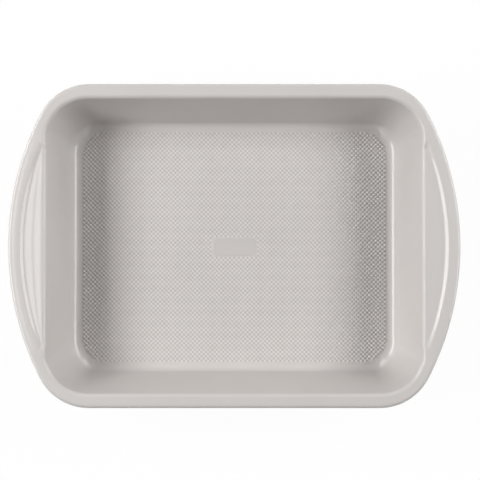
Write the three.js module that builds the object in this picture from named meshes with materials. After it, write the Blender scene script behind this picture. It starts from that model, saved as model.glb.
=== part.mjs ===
// A pressed steel roasting pan. The body is one drawn sheet: a flat floor, leaning walls, and a
// rim that widens into a handle at each short end, with a crescent grip recess in each handle.
// The outer edge of the sheet is rolled round a stiffening wire.
// Millimetres, +Z up, +X towards a handle. The origin is under the middle of the pan, on the
// surface that it stands on.
import * as THREE from "three";

// Driving dimensions of the whole pan.
const LENGTH = 400; // over both handles
const WIDTH = 286.5; // over both long rims
const HEIGHT = 65; // from the base to the top of the rim
const SHEET = 0.8; // thickness of the steel

// Outer edge, seen from above.
const CORNER_RADIUS = 49;
const HANDLE_RADIUS = 255; // the bow of each handle's outer edge

// Rim, measured inwards from the outer edge to where the wall's line meets the rim's plane.
const RIM_SIDE = 12.4; // along the long sides
const RIM_END = 10.9; // where the corners run into the handles
const HANDLE_DEPTH = 33.3; // at the middle of a handle
const HANDLE_BLEND = 1; // softens the bend where a corner meets the straight edge of a handle

// Walls and floor.
const WALL_INSET = 18; // how far a wall leans in between the rim and the floor
const FLOOR_CORNER = 28; // corner radius where the walls' lines meet the floor
const FLOOR_FILLET_SIDE = 5; // inside bend from the floor to a long wall
const FLOOR_FILLET_END = 12.5; // inside bend from the floor to the wall under a handle
const SHOULDER_RADIUS = 4; // bend from a long wall to the rim

// Grip recess in each handle.
const GRIP_DEPTH = 1.5;
const GRIP_BAND = 9.7; // width of the rim left at full height outside the recess
const GRIP_SLOPE = 4.4; // width of the slope from that rim down into the recess
const GRIP_BEND = 0.25; // share of that width in the bend at each end of the slope
const GRIP_FADE = 1; // the recess is at full depth where this much flat ledge fits behind the slope
const GRIP_TIP = 1.5; // gap from the foot of the slope to the wall's line at the tips of the recess
const GRIP_EDGE_RADIUS = 5; // bend from a handle to the wall
const LONG_SIDE_FACING = 0.2; // up to this share of X in its direction, an edge has a side's bends
const HANDLE_FACING = 0.85; // from this share on, it has a handle's bends

// Rolled edge and its wire.
const WIRE_DIAMETER = 3;
const WIRE_CLEARANCE = 0.3; // between the wire and the sheet rolled round it
const WIRE_BUTT_GAP = 1; // between the two ends of the wire
const CURL_SWEEP = THREE.MathUtils.degToRad(285);
const LEAST_FLAT = 0.5; // flat metal left between two neighbouring bends

// Facets of the solids.
const SIDE_STEPS = 2; // along half a long side
const CORNER_STEPS = 7;
const HANDLE_STEPS = 18;
const FILLET_STEPS = 4;
const SHOULDER_STEPS = 4;
const SLOPE_STEPS = 4;
const CURL_STEPS = 9;
const WIRE_SIDES = 8;

const { lerp, smoothstep } = THREE.MathUtils;

// The rolled edge and the cavity follow from the driving dimensions.
const wireRadius = WIRE_DIAMETER / 2;
const curlRadius = wireRadius + WIRE_CLEARANCE + SHEET;
const cavityHalfLength = LENGTH / 2 - HANDLE_DEPTH;
const cavityHalfWidth = WIDTH / 2 - RIM_SIDE;
const wallLean = WALL_INSET / (HEIGHT - SHEET);

// The outer edge: each corner arc is tangent to a long side and to the bow of a handle.
const handleCentre = LENGTH / 2 - HANDLE_RADIUS;
const cornerY = WIDTH / 2 - CORNER_RADIUS;
const cornerX = handleCentre + Math.sqrt((HANDLE_RADIUS - CORNER_RADIUS) ** 2 - cornerY ** 2);
const handleAngle = Math.atan2(cornerY, cornerX - handleCentre);

// A station is a point on the outer edge, with the outward direction there.
const station = (x, y, angle) => ({
  edge: new THREE.Vector2(x, y),
  normal: new THREE.Vector2(Math.cos(angle), Math.sin(angle)),
});

// The larger of two distances, with the bend between them rounded over the blend.
function softMax(a, b, blend) {
  return Math.max(a, b) + Math.max(blend - Math.abs(a - b), 0) ** 2 / (4 * blend);
}

// A rise from 0 to 1 with one even slope and rounded ends, and how steep it is.
function ramp(t) {
  if (t > 0.5) return 1 - ramp(1 - t);
  const bend = Math.max(GRIP_BEND - t, 0) ** 2 / (2 * GRIP_BEND);
  return (t - GRIP_BEND / 2 + bend) / (1 - GRIP_BEND);
}

function rampSlope(t) {
  return Math.min(t, 1 - t, GRIP_BEND) / (GRIP_BEND * (1 - GRIP_BEND));
}

// Crowds the steps of a handle's bow towards its two ends, where the recess begins.
function crowdEnds(t) {
  const s = 2 * t - 1;
  return (1.5 * s - 0.5 * s ** 3 + 1) / 2;
}

function arcStations(x, y, radius, from, to, steps, ease = (t) => t) {
  return Array.from({ length: steps }, (_, k) => {
    const angle = lerp(from, to, ease(k / steps));
    return station(x + radius * Math.cos(angle), y + radius * Math.sin(angle), angle);
  });
}

// Half of the outer edge, anticlockwise from the middle of the +Y side round the -X handle.
function halfEdge() {
  const up = Math.PI / 2;
  const bow = [Math.PI - handleAngle, Math.PI + handleAngle];
  const side = (x) => station(x, WIDTH / 2, up);
  const opposite = (x) => station(x, -WIDTH / 2, -up);
  const along = (from, to) => (_, k) => lerp(from, to, k / SIDE_STEPS);
  return [
    ...Array.from({ length: SIDE_STEPS }, along(0, -cornerX)).map(side),
    ...arcStations(-cornerX, cornerY, CORNER_RADIUS, up, bow[0], CORNER_STEPS),
    ...arcStations(-handleCentre, 0, HANDLE_RADIUS, ...bow, HANDLE_STEPS, crowdEnds),
    ...arcStations(-cornerX, -cornerY, CORNER_RADIUS, bow[1], 3 * up, CORNER_STEPS),
    ...Array.from({ length: SIDE_STEPS }, along(-cornerX, 0)).map(opposite),
  ];
}

// The whole outer edge: the second half is the first turned half round.
function outerEdge() {
  const half = halfEdge();
  const turned = half.map(({ edge, normal }) => ({
    edge: edge.clone().negate(),
    normal: normal.clone().negate(),
  }));
  return [...half, ...turned];
}

// Distance inwards from a station to the rounded rectangle where the walls' lines meet the floor.
function distanceToFloor({ edge, normal }) {
  const corner = new THREE.Vector2(
    cavityHalfLength - WALL_INSET - FLOOR_CORNER,
    cavityHalfWidth - WALL_INSET - FLOOR_CORNER,
  );
  const isOutside = (distance) => {
    const x = Math.abs(edge.x - normal.x * distance) - corner.x;
    const y = Math.abs(edge.y - normal.y * distance) - corner.y;
    return Math.hypot(Math.max(x, 0), Math.max(y, 0)) > FLOOR_CORNER;
  };
  let near = 0;
  let far = edge.length();
  for (let halving = 0; halving < 50; halving += 1) {
    const middle = (near + far) / 2;
    if (isOutside(middle)) near = middle;
    else far = middle;
  }
  return far;
}

// Distance inwards from a station to the wall, at a depth below the rim's plane.
function distanceToWall({ edge, normal }, depth) {
  const rim = lerp(RIM_SIDE, RIM_END, Math.abs(normal.x));
  const shortWall = cavityHalfLength - wallLean * depth;
  const reach = (Math.abs(edge.x) - shortWall) / Math.max(Math.abs(normal.x), Number.EPSILON);
  return softMax(rim, reach, HANDLE_BLEND);
}

// The section of the sheet at a station, from the floor to the end of the roll. Each point holds
// its distance inwards, its height, and the direction that the upper face looks in.
function section(place) {
  const points = [];
  const add = (inward, height, facing) => points.push({ inward, height, facing });

  // How deep the recess is here: it fades out where the rim is too narrow to hold it.
  const room = distanceToWall(place, 0) - GRIP_TIP - GRIP_BAND - GRIP_SLOPE;
  const recess = GRIP_DEPTH * smoothstep(room, 0, GRIP_FADE);
  const ledge = HEIGHT - recess;

  // The line of the wall, and the bends at its two ends.
  const wallTop = distanceToWall(place, recess);
  const wallFoot = distanceToFloor(place);
  const steepness = Math.atan2(ledge - SHEET, wallFoot - wallTop);
  const setback = Math.tan(steepness / 2);
  const widest = (wallTop - curlRadius - 3 * LEAST_FLAT) / setback;
  const endShare = smoothstep(Math.abs(place.normal.x), LONG_SIDE_FACING, HANDLE_FACING);
  const fillet = lerp(FLOOR_FILLET_SIDE, FLOOR_FILLET_END, endShare);
  const shoulder = Math.min(lerp(SHOULDER_RADIUS, GRIP_EDGE_RADIUS, endShare), widest);
  const shoulderStart = wallTop - shoulder * setback;
  for (let k = 0; k <= FILLET_STEPS; k += 1) {
    const lean = (steepness * k) / FILLET_STEPS;
    const facing = new THREE.Vector2(Math.sin(lean), Math.cos(lean));
    add(wallFoot + fillet * (setback - facing.x), SHEET + fillet * (1 - facing.y), facing);
  }
  for (let k = 0; k <= SHOULDER_STEPS; k += 1) {
    const lean = steepness * (1 - k / SHOULDER_STEPS);
    const facing = new THREE.Vector2(Math.sin(lean), Math.cos(lean));
    add(shoulderStart + shoulder * facing.x, ledge - shoulder * (1 - facing.y), facing);
  }

  // The slope from the recess up to the rim, level where there is no recess.
  const slopeEnd = Math.min(GRIP_BAND + GRIP_SLOPE, shoulderStart - LEAST_FLAT);
  const slopeStart = Math.max(slopeEnd - GRIP_SLOPE, curlRadius + LEAST_FLAT);
  for (let k = SLOPE_STEPS; k >= 0; k -= 1) {
    const t = k / SLOPE_STEPS;
    const fall = (recess * rampSlope(t)) / (slopeEnd - slopeStart);
    const facing = new THREE.Vector2(fall, 1).normalize();
    add(lerp(slopeStart, slopeEnd, t), HEIGHT - recess * ramp(t), facing);
  }

  // The roll: over the top, down the outside and back in under the rim.
  for (let k = 0; k <= CURL_STEPS; k += 1) {
    const turn = (CURL_SWEEP * k) / CURL_STEPS;
    const facing = new THREE.Vector2(-Math.sin(turn), Math.cos(turn));
    add(curlRadius * (1 + facing.x), HEIGHT - curlRadius * (1 - facing.y), facing);
  }
  return points;
}

// Skins closed rings of points into one solid, with a flat cap on the first and the last ring.
// The points of a ring run anticlockwise, seen from outside the first cap.
function loft(rings) {
  const count = rings[0].length;
  const points = rings.flat();
  const triangles = [];
  for (let r = 0; r + 1 < rings.length; r += 1) {
    for (let i = 0; i < count; i += 1) {
      const next = (i + 1) % count;
      const [a, b] = [r * count + i, r * count + next];
      triangles.push(a, a + count, b + count, a, b + count, b);
    }
  }
  const cap = (first, flipped) => {
    const middle = new THREE.Vector3();
    for (let i = 0; i < count; i += 1) middle.addScaledVector(points[first + i], 1 / count);
    const centre = points.push(middle) - 1;
    for (let i = 0; i < count; i += 1) {
      const pair = [first + i, first + ((i + 1) % count)];
      triangles.push(centre, ...(flipped ? pair.reverse() : pair));
    }
  };
  cap(0, false);
  cap((rings.length - 1) * count, true);
  const geometry = new THREE.BufferGeometry().setFromPoints(points);
  geometry.setIndex(triangles);
  geometry.computeVertexNormals();
  return geometry;
}

// The drawn sheet: its upper face from the floor out to the end of the roll, and back underneath.
function panBody(edge) {
  const sections = edge.map(section);
  const ringAt = (k, thickness) =>
    sections.map((points, i) => {
      const { inward, height, facing } = points[k];
      const { x, y } = edge[i].edge
        .clone()
        .addScaledVector(edge[i].normal, thickness * facing.x - inward);
      return new THREE.Vector3(x, y, height - thickness * facing.y);
    });
  const upper = sections[0].map((_, k) => ringAt(k, 0));
  const under = sections[0].map((_, k) => ringAt(k, SHEET)).reverse();
  const coating = new THREE.MeshStandardMaterial({
    color: 0xccc7c4,
    roughness: 0.38,
    metalness: 0.15,
  });
  const mesh = new THREE.Mesh(loft([...upper, ...under]), coating);
  mesh.name = "pan_body";
  return mesh;
}

// The wire in the rolled edge: one length, bent round the rim until its ends meet at a long side.
function rimWire(edge) {
  const ringAt = ({ edge: point, normal }) =>
    Array.from({ length: WIRE_SIDES }, (_, k) => {
      const angle = (-2 * Math.PI * k) / WIRE_SIDES;
      const inward = curlRadius + wireRadius * Math.cos(angle);
      const { x, y } = point.clone().addScaledVector(normal, -inward);
      return new THREE.Vector3(x, y, HEIGHT - curlRadius + wireRadius * Math.sin(angle));
    });
  const [start, ...rest] = edge;
  const end = (x) => ({ edge: start.edge.clone().setX(x), normal: start.normal });
  const rings = [end(-WIRE_BUTT_GAP / 2), ...rest, end(WIRE_BUTT_GAP / 2)].map(ringAt);
  const steel = new THREE.MeshStandardMaterial({ color: 0x8f9295, roughness: 0.4, metalness: 1 });
  const mesh = new THREE.Mesh(loft(rings), steel);
  mesh.name = "rim_wire";
  return mesh;
}

const edge = outerEdge();
const roastingPan = new THREE.Group();
roastingPan.add(panBody(edge), rimWire(edge));

export default roastingPan;
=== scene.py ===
"""Looks of a pressed steel roasting pan with a satin coat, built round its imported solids.

Metres, +Z up, +X towards a handle, in the frame of the solids.
"""

import math

import bmesh
import bpy
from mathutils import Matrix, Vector


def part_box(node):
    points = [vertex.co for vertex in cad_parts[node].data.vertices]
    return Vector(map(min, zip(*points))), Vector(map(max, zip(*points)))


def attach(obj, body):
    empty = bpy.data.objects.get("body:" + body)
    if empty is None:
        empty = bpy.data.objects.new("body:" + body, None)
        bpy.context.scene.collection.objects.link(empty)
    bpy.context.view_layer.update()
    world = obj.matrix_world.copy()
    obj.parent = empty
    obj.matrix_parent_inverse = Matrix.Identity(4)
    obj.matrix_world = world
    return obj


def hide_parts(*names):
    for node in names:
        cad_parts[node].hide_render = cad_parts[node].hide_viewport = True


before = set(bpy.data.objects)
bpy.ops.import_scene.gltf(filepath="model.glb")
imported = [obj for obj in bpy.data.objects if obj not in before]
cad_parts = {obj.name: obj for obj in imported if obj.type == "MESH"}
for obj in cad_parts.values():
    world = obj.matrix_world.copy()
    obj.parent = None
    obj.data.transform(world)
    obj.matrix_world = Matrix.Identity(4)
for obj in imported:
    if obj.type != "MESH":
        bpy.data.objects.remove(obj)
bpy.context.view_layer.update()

# The pan's overall size, from the frame.
PAN_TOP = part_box("pan_body")[1]
HALF_LENGTH = PAN_TOP.x
HALF_WIDTH = PAN_TOP.y
HEIGHT = PAN_TOP.z

# The sheet's thickness, the least flat between two of its bends, and its edge from above.
SHEET = 0.0008
LEAST_FLAT = 0.0005
CORNER_RADIUS = 0.049
HANDLE_RADIUS = 0.255

# The rim, measured inwards from the outer edge to where the wall's line meets the rim's plane.
RIM_SIDE = 0.0124
RIM_END = 0.0109
HANDLE_DEPTH = 0.0333
HANDLE_BLEND = 0.001

# The walls, and their bends into the floor and the rim. The bends widen from the long sides to
# the handles, by how much of the outward direction there lies along the pan.
WALL_INSET = 0.018
FLOOR_CORNER = 0.028
FILLET_SIDE = 0.005
FILLET_END = 0.0125
SHOULDER_SIDE = 0.004
SHOULDER_END = 0.005
LONG_SIDE_FACING = 0.2
HANDLE_FACING = 0.85

# The grip recess in each handle: a band along the edge, a slope with rounded ends down to a
# fluted ledge, and a tip at each end where the recess fades out.
GRIP_DEPTH = 0.0015
GRIP_BAND = 0.0097
GRIP_SLOPE = 0.0044
GRIP_BEND = 0.25
GRIP_TIP = 0.0015
GRIP_FADE = 0.0016
FLUTE_SLOPE = 0.06

# The outer edge, rolled round the wire.
CURL_RADIUS = 0.0026
CURL_SWEEP = math.radians(285)

# The raised pattern of the floor: bumps in rows, with each second row moved by half a step.
BUMP_PITCH = 0.004
BUMP_HEIGHT = 0.0018
PATTERN_RISE = 0.0004
PATTERN_HALF_LENGTH = 0.139
PATTERN_HALF_WIDTH = 0.105
PATTERN_CORNER = 0.020

# The bare plaque in the middle of the floor.
PLAQUE_LENGTH = 0.040
PLAQUE_WIDTH = 0.016
PLAQUE_CORNER = 0.004
PLAQUE_EDGE = 0.0006
PLAQUE_RISE = 0.0003
PLAQUE_GAP = 0.001

# How finely the sheet is modelled.
SIDE_STEPS = 20
CORNER_STEPS = 16
HANDLE_STEPS = 48
TIP_STEPS = 8
FILLET_STEPS = 8
SHOULDER_STEPS = 8
LEDGE_STEPS = 16
SLOPE_STEPS = 8
CURL_STEPS = 14
BUMP_STEPS = 4
PLAQUE_CORNER_STEPS = 8
SEARCH_STEPS = 50
SMOOTH_ANGLE = math.radians(75)

# The coat's colour: two tones, the size of its clouds, and how far the clouds and the bumps go
# from one tone to the other. On the bumps this is painted light and shade: tops painted lighter,
# hollows painted darker. The plaque's tone is on the scale of the bumps, where a hollow is
# -1 and a top is 1.
COAT_DARK = (0.42, 0.399, 0.385)
COAT_LIGHT = (0.78, 0.744, 0.718)
CLOUD_SIZE = 0.06
CLOUD_TONE = 0.13
BUMP_PAINTED_SHADE = 0.45
PLAQUE_TONE = -0.25

# The coat's sheen: its roughness, the gloss over it, and a fine unevenness.
COAT_ROUGHNESS = 0.50
ROUGHNESS_SWING = 0.08
COAT_GLOSS = 0.52
COAT_GLOSS_ROUGHNESS = 0.10
PEEL_SIZE = 0.005
PEEL_DEPTH = 0.00004

# The wire: two tones for its streaks, their size, and how rough they are.
WIRE_DARK = (0.36, 0.37, 0.38)
WIRE_LIGHT = (0.55, 0.56, 0.57)
STREAK_SIZE = 0.0008
STREAK_DETAIL = 3.0
WIRE_ROUGHNESS = 0.25
WIRE_ROUGHNESS_SWING = 0.2

# The floor and its backdrop.
FLOOR_SIZE = 16.0
FLOOR_GAP = 0.0002
BACKDROP_HEIGHT = 1.8
FLOOR_PAINT = (0.9, 0.9, 0.9)
FLOOR_WHITE = (1.0, 1.0, 1.0)
FLOOR_GLOW = 0.96

# The lamps, each with its name, place, width, height and power, and the camera.
LAMPS = [
    ("left_softbox", (-1.50, 0.13, 1.31), 1.7, 0.65, 37.5),
    ("right_softbox", (1.52, 0.32, 1.26), 1.5, 0.65, 26.5),
    ("left_panel", (-1.69, 0.97, 0.45), 1.4, 0.5, 6),
    ("right_panel", (1.69, 0.97, 0.45), 1.4, 0.5, 7),
    ("top_strip", (-0.56, 0.03, 1.92), 0.5, 0.16, 1.4),
]
CAMERA_LENS = 144.5
CAMERA_PLACE = Vector((0.0051, -0.0295, 1.765))
CAMERA_AIM = Vector((0.0051, 0.0051, 0.065))

# What follows from the sizes above.
CAVITY_HALF_LENGTH = HALF_LENGTH - HANDLE_DEPTH
CAVITY_HALF_WIDTH = HALF_WIDTH - RIM_SIDE
WALL_LEAN = WALL_INSET / (HEIGHT - SHEET)
HANDLE_CENTRE = HALF_LENGTH - HANDLE_RADIUS
CORNER_Y = HALF_WIDTH - CORNER_RADIUS
CORNER_X = HANDLE_CENTRE + math.sqrt((HANDLE_RADIUS - CORNER_RADIUS) ** 2 - CORNER_Y**2)
HANDLE_ANGLE = math.atan2(CORNER_Y, CORNER_X - HANDLE_CENTRE)
SLOPE_FOOT = GRIP_BAND + GRIP_SLOPE
TIP_ANGLE = math.acos((HANDLE_RADIUS - HANDLE_DEPTH) / (HANDLE_RADIUS - SLOPE_FOOT - GRIP_TIP))
PATTERN_OUTLINE = (PATTERN_HALF_LENGTH, PATTERN_HALF_WIDTH, PATTERN_CORNER)
PLAQUE_OPENING = (
    PLAQUE_LENGTH / 2 + PLAQUE_GAP,
    PLAQUE_WIDTH / 2 + PLAQUE_GAP,
    PLAQUE_CORNER + PLAQUE_GAP,
)

QUARTER_TURN = math.pi / 2
LEAST_FACING = 1e-9

# A Mix node has a set of sockets for numbers and one for colours, under the same names, so the
# colour sockets are found by their places.
MIX_SHARE = 0
MIX_FIRST_COLOUR = 6
MIX_SECOND_COLOUR = 7
MIX_COLOUR = 2


def blend(start, end, share):
    """The value that lies a share of the way from start to end."""
    return start + (end - start) * share


def ease_in_out(value, low, high):
    """0 below low, 1 above high, with a smooth rise between."""
    share = min(max((value - low) / (high - low), 0), 1)
    return share * share * (3 - 2 * share)


def ramp(share):
    """A rise from 0 to 1 with one even slope and rounded ends."""
    if share > 0.5:
        return 1 - ramp(1 - share)
    bend = max(GRIP_BEND - share, 0)
    return (share - GRIP_BEND / 2 + bend**2 / (2 * GRIP_BEND)) / (1 - GRIP_BEND)


def ramp_slope(share):
    """How steep the ramp is."""
    return min(share, 1 - share, GRIP_BEND) / (GRIP_BEND * (1 - GRIP_BEND))


def soft_max(a, b, width):
    """The larger of two distances, with the bend between them rounded over a width."""
    return max(a, b) + max(width - abs(a - b), 0) ** 2 / (4 * width)


def outside_rounded(x, y, half_length, half_width, corner):
    """How far a point lies outside a rounded rectangle about the origin, less than 0 inside."""
    across = abs(x) - half_length + corner
    along = abs(y) - half_width + corner
    inner = min(max(across, along), 0)
    return math.hypot(max(across, 0), max(along, 0)) + inner - corner


def evenly(share):
    """Leaves the stations of an arc evenly spaced."""
    return share


def crowd_ends(share):
    """Crowds the stations of an arc towards its ends."""
    place = 2 * share - 1
    return (1.5 * place - 0.5 * place**3 + 1) / 2


def arc_stations(centre_x, centre_y, radius, start, end, steps, spread=evenly):
    """Points of the outer edge on an arc, each with the outward direction there."""
    stations = []
    for step in range(steps):
        angle = blend(start, end, spread(step / steps))
        outward = Vector((math.cos(angle), math.sin(angle)))
        stations.append((Vector((centre_x, centre_y)) + radius * outward, outward))
    return stations


def outer_edge():
    """The whole outer edge: half of it, from a long side round a handle, and the same turned."""
    handle = (-HANDLE_CENTRE, 0, HANDLE_RADIUS)
    bow = (math.pi - HANDLE_ANGLE, math.pi + HANDLE_ANGLE)
    tips = (math.pi - TIP_ANGLE, math.pi + TIP_ANGLE)
    half = []
    for step in range(SIDE_STEPS):
        x = blend(CORNER_X, -CORNER_X, step / SIDE_STEPS)
        half.append((Vector((x, HALF_WIDTH)), Vector((0, 1))))
    half += arc_stations(-CORNER_X, CORNER_Y, CORNER_RADIUS, QUARTER_TURN, bow[0], CORNER_STEPS)
    half += arc_stations(*handle, bow[0], tips[0], TIP_STEPS)
    half += arc_stations(*handle, *tips, HANDLE_STEPS, crowd_ends)
    half += arc_stations(*handle, tips[1], bow[1], TIP_STEPS)
    half += arc_stations(-CORNER_X, -CORNER_Y, CORNER_RADIUS, bow[1], 3 * QUARTER_TURN, CORNER_STEPS)
    return half + [(-edge, -outward) for edge, outward in half]


def distance_to_floor(edge, outward):
    """How far inwards the line of the wall meets the floor."""
    half_length = CAVITY_HALF_LENGTH - WALL_INSET
    half_width = CAVITY_HALF_WIDTH - WALL_INSET
    near, far = 0, edge.length
    for _ in range(SEARCH_STEPS):
        middle = (near + far) / 2
        x, y = edge - outward * middle
        gap = outside_rounded(x, y, half_length, half_width, FLOOR_CORNER)
        near, far = (middle, far) if gap > 0 else (near, middle)
    return far


def distance_to_wall(edge, outward, depth):
    """How far inwards the wall is, at a depth below the rim's plane."""
    facing = abs(outward.x)
    rim = blend(RIM_SIDE, RIM_END, facing)
    reach = abs(edge.x) - CAVITY_HALF_LENGTH + WALL_LEAN * depth
    return soft_max(rim, reach / max(facing, LEAST_FACING), HANDLE_BLEND)


def facing_at(lean):
    """The direction, inwards and up, that the upper face looks in where the sheet leans."""
    return Vector((math.sin(lean), math.cos(lean)))


def floor_bend(wall_foot, steepness, radius):
    """The bend from the floor up into the wall, whose line meets the floor at its foot."""
    setback = math.tan(steepness / 2)
    points = []
    for step in range(FILLET_STEPS + 1):
        facing = facing_at(steepness * step / FILLET_STEPS)
        inward = wall_foot + radius * (setback - facing.x)
        points.append((inward, SHEET + radius * (1 - facing.y), facing))
    return points


def shoulder_bend(start, top, steepness, radius):
    """The bend from the wall out onto the rim or onto the ledge of a recess."""
    points = []
    for step in range(SHOULDER_STEPS + 1):
        facing = facing_at(steepness * (1 - step / SHOULDER_STEPS))
        points.append((start + radius * facing.x, top - radius * (1 - facing.y), facing))
    return points


def flute_drop(width, fall):
    """How far each of two flutes drops over half the width of a ledge, at a steepest fall."""
    return fall * width / math.pi


def fluted_ledge(start, end, top, fall):
    """The ledge of a recess, which drops outwards in two shallow flutes. With no fall it is flat."""
    drop = flute_drop(start - end, fall)
    points = []
    for step in range(1, LEDGE_STEPS):
        share = step / LEDGE_STEPS
        wave = math.sin(math.pi * share) ** 2
        sag = drop * (wave if share <= 0.5 else 2 - wave)
        facing = Vector((-fall * abs(math.sin(2 * math.pi * share)), 1)).normalized()
        points.append((blend(start, end, share), top - sag, facing))
    return points


def grip_slope(start, end, depth):
    """The slope from the ledge of a recess up to the band along the outer edge."""
    points = []
    for step in range(SLOPE_STEPS, -1, -1):
        share = step / SLOPE_STEPS
        steep = depth * ramp_slope(share) / (end - start)
        height = HEIGHT - depth * ramp(share)
        points.append((blend(start, end, share), height, Vector((steep, 1)).normalized()))
    return points


def rolled_edge():
    """The outer edge, rolled down and back round the wire."""
    points = []
    for step in range(CURL_STEPS + 1):
        facing = facing_at(-CURL_SWEEP * step / CURL_STEPS)
        height = HEIGHT - CURL_RADIUS * (1 - facing.y)
        points.append((CURL_RADIUS * (1 + facing.x), height, facing))
    return points


def section(edge, outward):
    """The upper face of the sheet at a station, from the floor to the end of the roll.

    Each point is a distance inwards, a height, and the direction that the face looks in.
    """
    room = distance_to_wall(edge, outward, 0) - GRIP_TIP - SLOPE_FOOT
    sunk = ease_in_out(room, 0, GRIP_FADE)
    recess = GRIP_DEPTH * sunk
    ledge = HEIGHT - recess
    wall_top = distance_to_wall(edge, outward, recess)
    wall_foot = distance_to_floor(edge, outward)
    steepness = math.atan2(ledge - SHEET, wall_foot - wall_top)
    setback = math.tan(steepness / 2)
    end_share = ease_in_out(abs(outward.x), LONG_SIDE_FACING, HANDLE_FACING)
    fillet = blend(FILLET_SIDE, FILLET_END, end_share)
    shoulder = blend(SHOULDER_SIDE, SHOULDER_END, end_share)
    widest = (wall_top - SLOPE_FOOT - LEAST_FLAT) / setback
    shoulder = blend(shoulder, min(shoulder, widest), sunk)
    shoulder_start = wall_top - shoulder * setback
    slope_end = min(SLOPE_FOOT, shoulder_start - LEAST_FLAT)
    slope_start = max(slope_end - GRIP_SLOPE, CURL_RADIUS + LEAST_FLAT)
    fall = FLUTE_SLOPE * sunk
    depth = recess + 2 * flute_drop(shoulder_start - slope_end, fall)
    return [
        *floor_bend(wall_foot, steepness, fillet),
        *shoulder_bend(shoulder_start, ledge, steepness, shoulder),
        *fluted_ledge(shoulder_start, slope_end, ledge, fall),
        *grip_slope(slope_start, slope_end, depth),
        *rolled_edge(),
    ]


def ring_places(stations, sections, step, depth):
    """The places of one step of all the sections, at a depth under the upper face."""
    places = []
    for (edge, outward), points in zip(stations, sections):
        inward, height, facing = points[step]
        x, y = edge - outward * (inward - depth * facing.x)
        places.append(Vector((x, y, height - depth * facing.y)))
    return places


def place_ring(pan, places):
    """Puts the points of the ring that is selected at their stations' places."""
    mesh = bmesh.from_edit_mesh(pan.data)
    station = mesh.verts.layers.int["station"]
    for vert in mesh.verts:
        if vert.select:
            vert.co = places[vert[station]]
    bmesh.update_edit_mesh(pan.data)


def model_pan_sheet():
    """The drawn sheet: a ring of the floor, pulled out over the walls and rim and back under."""
    stations = outer_edge()
    sections = [section(edge, outward) for edge, outward in stations]
    steps = range(len(sections[0]))
    rings = [ring_places(stations, sections, step, 0) for step in steps]
    rings += [ring_places(stations, sections, step, SHEET) for step in reversed(steps)]
    bpy.ops.mesh.primitive_circle_add(vertices=len(stations), radius=HALF_WIDTH)
    pan = bpy.context.object
    pan.name = "pan_sheet"
    bpy.ops.object.mode_set(mode="EDIT")
    bpy.ops.mesh.select_all(action="SELECT")
    mesh = bmesh.from_edit_mesh(pan.data)
    station = mesh.verts.layers.int.new("station")
    for number, vert in enumerate(mesh.verts):
        vert[station] = number
    place_ring(pan, rings[0])
    for places in rings[1:]:
        bpy.ops.mesh.extrude_region()
        place_ring(pan, places)
    bpy.ops.mesh.edge_face_add()
    bpy.ops.object.mode_set(mode="OBJECT")
    return pan


def onto_outline(place, half_length, half_width, corner):
    """A place by a rounded rectangle, moved onto its outline where that is a corner's arc."""
    x, y, z = place
    across = abs(x) - half_length + corner
    along = abs(y) - half_width + corner
    if across <= 0 or along <= 0:
        return place
    scale = corner / math.hypot(across, along)
    x = math.copysign(half_length - corner + across * scale, x)
    y = math.copysign(half_width - corner + along * scale, y)
    return Vector((x, y, z))


def add_pattern_grid(step):
    """A grid of the floor's pattern, cut to its outline and open where the plaque lies."""
    columns = 2 * round(PATTERN_HALF_LENGTH / step)
    rows = 2 * round(PATTERN_HALF_WIDTH / step)
    bpy.ops.mesh.primitive_grid_add(
        x_subdivisions=columns, y_subdivisions=rows, size=step, location=(0, 0, SHEET)
    )
    grid = bpy.context.object
    grid.scale = (columns, rows, 1)
    bpy.ops.object.transform_apply()
    bpy.ops.object.mode_set(mode="EDIT")
    bpy.ops.mesh.select_mode(type="FACE")
    mesh = bmesh.from_edit_mesh(grid.data)
    for face in mesh.faces:
        x, y, _ = face.calc_center_median()
        beyond = outside_rounded(x, y, *PATTERN_OUTLINE) > 0
        face.select_set(beyond or outside_rounded(x, y, *PLAQUE_OPENING) < 0)
    bpy.ops.mesh.delete(type="FACE")
    bpy.ops.object.mode_set(mode="OBJECT")
    return grid


def model_floor_pattern():
    """The raised pattern: a fine grid lifted in bumps, with its edges drawn to their outlines."""
    step = BUMP_PITCH / BUMP_STEPS
    turn = 2 * math.pi / BUMP_PITCH
    pattern = add_pattern_grid(step)
    bpy.ops.object.mode_set(mode="EDIT")
    mesh = bmesh.from_edit_mesh(pattern.data)
    # Each point keeps how high its bump stands, for the coat's painted light on the tops and painted
    # shade in the hollows.
    tone = mesh.verts.layers.float.new("tone")
    for vert in mesh.verts:
        x, y, _ = vert.co
        if not vert.is_boundary:
            vert[tone] = math.cos(turn * x) * math.cos(turn * y)
            vert.co.z += PATTERN_RISE + vert[tone] * BUMP_HEIGHT / 2
        elif outside_rounded(x, y, *PLAQUE_OPENING) < step:
            vert.co = onto_outline(vert.co, *PLAQUE_OPENING)
            vert.co.z += PATTERN_RISE
        else:
            vert.co = onto_outline(vert.co, *PATTERN_OUTLINE)
    bmesh.update_edit_mesh(pattern.data)
    bpy.ops.mesh.select_all(action="SELECT")
    bpy.ops.mesh.quads_convert_to_tris(quad_method="LONGEST_DIAGONAL")
    bpy.ops.object.mode_set(mode="OBJECT")
    return pattern


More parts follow.
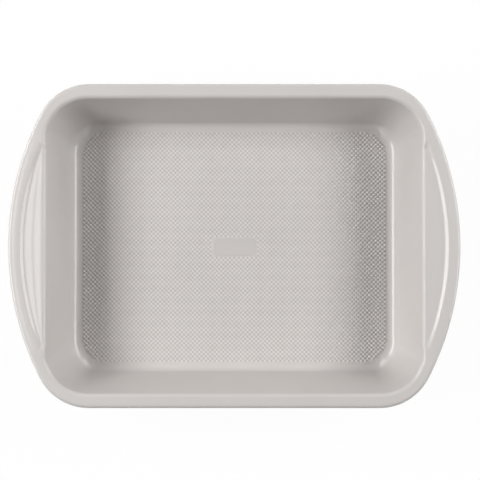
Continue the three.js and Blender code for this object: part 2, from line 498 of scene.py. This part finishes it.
def model_plaque():
    """The bare plaque: a smooth flat plate with rounded corners, a little raised."""
    bpy.ops.mesh.primitive_plane_add(size=1, location=(0, 0, SHEET + PATTERN_RISE))
    plaque = bpy.context.object
    plaque.scale = (PLAQUE_LENGTH, PLAQUE_WIDTH, 1)
    bpy.ops.object.transform_apply()
    bpy.ops.object.mode_set(mode="EDIT")
    bpy.ops.mesh.select_all(action="SELECT")
    bpy.ops.mesh.bevel(offset=PLAQUE_CORNER, segments=PLAQUE_CORNER_STEPS, affect="VERTICES")
    bpy.ops.mesh.select_all(action="SELECT")
    bpy.ops.mesh.inset(thickness=PLAQUE_EDGE, depth=PLAQUE_RISE)
    bpy.ops.mesh.inset(thickness=PLAQUE_EDGE, depth=0)
    mesh = bmesh.from_edit_mesh(plaque.data)
    tone = mesh.verts.layers.float.new("tone")
    for vert in mesh.verts:
        vert[tone] = PLAQUE_TONE
    bmesh.update_edit_mesh(plaque.data)
    bpy.ops.object.mode_set(mode="OBJECT")
    return plaque


def model_pan():
    """The whole pressing in one mesh: the sheet, the pattern and the plaque with the gaps closed."""
    bpy.ops.object.select_all(action="DESELECT")
    pan = model_pan_sheet()
    inner = [model_floor_pattern(), model_plaque()]
    for piece in [*inner, pan]:
        piece.select_set(True)
    bpy.context.view_layer.objects.active = pan
    bpy.ops.object.join()
    bpy.ops.object.mode_set(mode="EDIT")
    bpy.ops.mesh.select_mode(type="EDGE")
    bpy.ops.mesh.select_all(action="DESELECT")
    bpy.ops.mesh.select_non_manifold(use_wire=False, use_multi_face=False, use_non_contiguous=False)
    bpy.ops.mesh.fill(use_beauty=True)
    bpy.ops.mesh.select_all(action="SELECT")
    bpy.ops.mesh.normals_make_consistent(inside=False)
    bpy.ops.object.mode_set(mode="OBJECT")
    bpy.ops.object.shade_smooth_by_angle(angle=SMOOTH_ANGLE)
    return pan


class Value:
    """A number in a finish: Python operators on it add Math nodes."""

    def __init__(self, finish, socket):
        self.finish = finish
        self.socket = socket

    def math(self, operation, first, second):
        return self.finish.node("Math", {"operation": operation}, {0: first, 1: second})

    def __add__(self, other):
        return self.math("ADD", self, other)

    __radd__ = __add__

    def __sub__(self, other):
        return self.math("SUBTRACT", self, other)

    def __rsub__(self, other):
        return self.math("SUBTRACT", other, self)

    def __mul__(self, other):
        return self.math("MULTIPLY", self, other)

    __rmul__ = __mul__


class Finish:
    """A material made of nodes."""

    def __init__(self, name):
        self.material = bpy.data.materials.new(name)
        self.material.use_nodes = True
        self.tree = self.material.node_tree
        self.tree.nodes.clear()

    def node(self, kind, settings=None, sockets=None, output=0):
        """Adds a node: its settings first, then the values or links of its sockets."""
        node = self.tree.nodes.new("ShaderNode" + kind)
        for name, value in (settings or {}).items():
            setattr(node, name, value)
        for name, value in (sockets or {}).items():
            if isinstance(value, Value):
                self.tree.links.new(value.socket, node.inputs[name])
            else:
                node.inputs[name].default_value = value
        return Value(self, node.outputs[output])

    def mix_colours(self, first, second, share):
        """A colour that lies a share of the way from the first colour to the second."""
        sockets = {MIX_SHARE: share, MIX_FIRST_COLOUR: (*first, 1), MIX_SECOND_COLOUR: (*second, 1)}
        return self.node("Mix", {"data_type": "RGBA"}, sockets, output=MIX_COLOUR)

    def noise(self, feature, detail=2.0):
        """Noise from 0 to 1 whose features are about this large, in metres."""
        place = self.node("TexCoord", output="Object")
        sockets = {"Vector": place, "Scale": 1 / feature, "Detail": detail}
        return self.node("TexNoise", {}, sockets)

    def surface(self, shader):
        """Sends a shader to the material's output."""
        end = self.tree.nodes.new("ShaderNodeOutputMaterial")
        self.tree.links.new(shader.socket, end.inputs["Surface"])
        return self.material


def satin_coat():
    """A light warm grey non-stick coat, cloudy and a little uneven, with painted light on the bumps'
    tops and painted shade in their hollows.
    """
    finish = Finish("satin_coat")
    cloud = finish.noise(CLOUD_SIZE)
    tone = finish.node("Attribute", {"attribute_name": "tone"}, output="Fac")
    # The bumps' tops are painted lighter and their hollows darker: painted light and shade.
    share = 0.5 + CLOUD_TONE * (cloud - 0.5) + BUMP_PAINTED_SHADE * tone
    colour = finish.mix_colours(COAT_DARK, COAT_LIGHT, share)
    roughness = COAT_ROUGHNESS + ROUGHNESS_SWING * (cloud - 0.5)
    peel = finish.noise(PEEL_SIZE)
    normal = finish.node("Bump", {}, {"Distance": PEEL_DEPTH, "Height": peel})
    shader = finish.node(
        "BsdfPrincipled",
        {},
        {
            "Base Color": colour,
            "Roughness": roughness,
            "Coat Weight": COAT_GLOSS,
            "Coat Roughness": COAT_GLOSS_ROUGHNESS,
            "Normal": normal,
        },
    )
    return finish.surface(shader)


def drawn_wire():
    """Bright drawn steel: fine streaks of tone and gloss."""
    finish = Finish("drawn_wire")
    streak = finish.noise(STREAK_SIZE, STREAK_DETAIL)
    colour = finish.mix_colours(WIRE_DARK, WIRE_LIGHT, streak)
    roughness = WIRE_ROUGHNESS + WIRE_ROUGHNESS_SWING * streak
    shader = finish.node(
        "BsdfPrincipled", {}, {"Base Color": colour, "Metallic": 1.0, "Roughness": roughness}
    )
    return finish.surface(shader)


def white_floor():
    """A white floor: mostly its own white to the camera and in gloss, with a faint shadow."""
    finish = Finish("white_floor")
    seen = finish.node("LightPath", output="Is Camera Ray")
    mirrored = finish.node("LightPath", output="Is Glossy Ray")
    passed = finish.node("LightPath", output="Is Transmission Ray")
    paint = finish.node("BsdfDiffuse", {}, {"Color": (*FLOOR_PAINT, 1)})
    glow = finish.node("Emission", {}, {"Color": (*FLOOR_WHITE, 1), "Strength": 1.0})
    share = FLOOR_GLOW * (seen + mirrored + passed)
    return finish.surface(finish.node("MixShader", {}, {0: share, 1: paint, 2: glow}))


def add_lamp(name, place, width, height, power):
    """A softbox that looks at the pan."""
    lamp = bpy.data.lights.new(name, "AREA")
    lamp.shape = "RECTANGLE"
    lamp.size = width
    lamp.size_y = height
    lamp.energy = power
    holder = bpy.data.objects.new(name, lamp)
    holder.location = place
    holder.rotation_euler = (-Vector(place)).to_track_quat("-Z", "Y").to_euler()
    bpy.context.scene.collection.objects.link(holder)


def add_floor():
    """The floor under the pan, turned up into a low backdrop all round."""
    bpy.ops.object.select_all(action="DESELECT")
    bpy.ops.mesh.primitive_plane_add(size=FLOOR_SIZE, location=(0, 0, -FLOOR_GAP))
    floor = bpy.context.object
    floor.name = "floor"
    bpy.ops.object.transform_apply()
    bpy.ops.object.mode_set(mode="EDIT")
    bpy.ops.mesh.select_mode(type="EDGE")
    bpy.ops.mesh.select_all(action="SELECT")
    bpy.ops.mesh.extrude_edges_move(TRANSFORM_OT_translate={"value": (0, 0, BACKDROP_HEIGHT)})
    bpy.ops.object.mode_set(mode="OBJECT")
    floor.data.materials.append(white_floor())


def add_world():
    """A dark room round the set: all the light comes from the lamps."""
    world = bpy.data.worlds.new("room")
    world.use_nodes = True
    world.node_tree.nodes["Background"].inputs["Strength"].default_value = 0
    bpy.context.scene.world = world


def add_camera():
    """The camera over the pan, a little towards the near long side."""
    camera = bpy.data.cameras.new("camera")
    camera.lens = CAMERA_LENS
    holder = bpy.data.objects.new("camera", camera)
    holder.location = CAMERA_PLACE
    holder.rotation_euler = (CAMERA_AIM - CAMERA_PLACE).to_track_quat("-Z", "Y").to_euler()
    bpy.context.scene.collection.objects.link(holder)
    bpy.context.scene.camera = holder


add_camera()
pan = model_pan()
pan.data.materials.append(satin_coat())
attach(pan, "root")
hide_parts("pan_body")

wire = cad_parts["rim_wire"]
wire.data.materials.clear()
wire.data.materials.append(drawn_wire())

add_floor()
add_world()
for lamp in LAMPS:
    add_lamp(*lamp)
bpy.context.scene.view_settings.view_transform = "Standard"
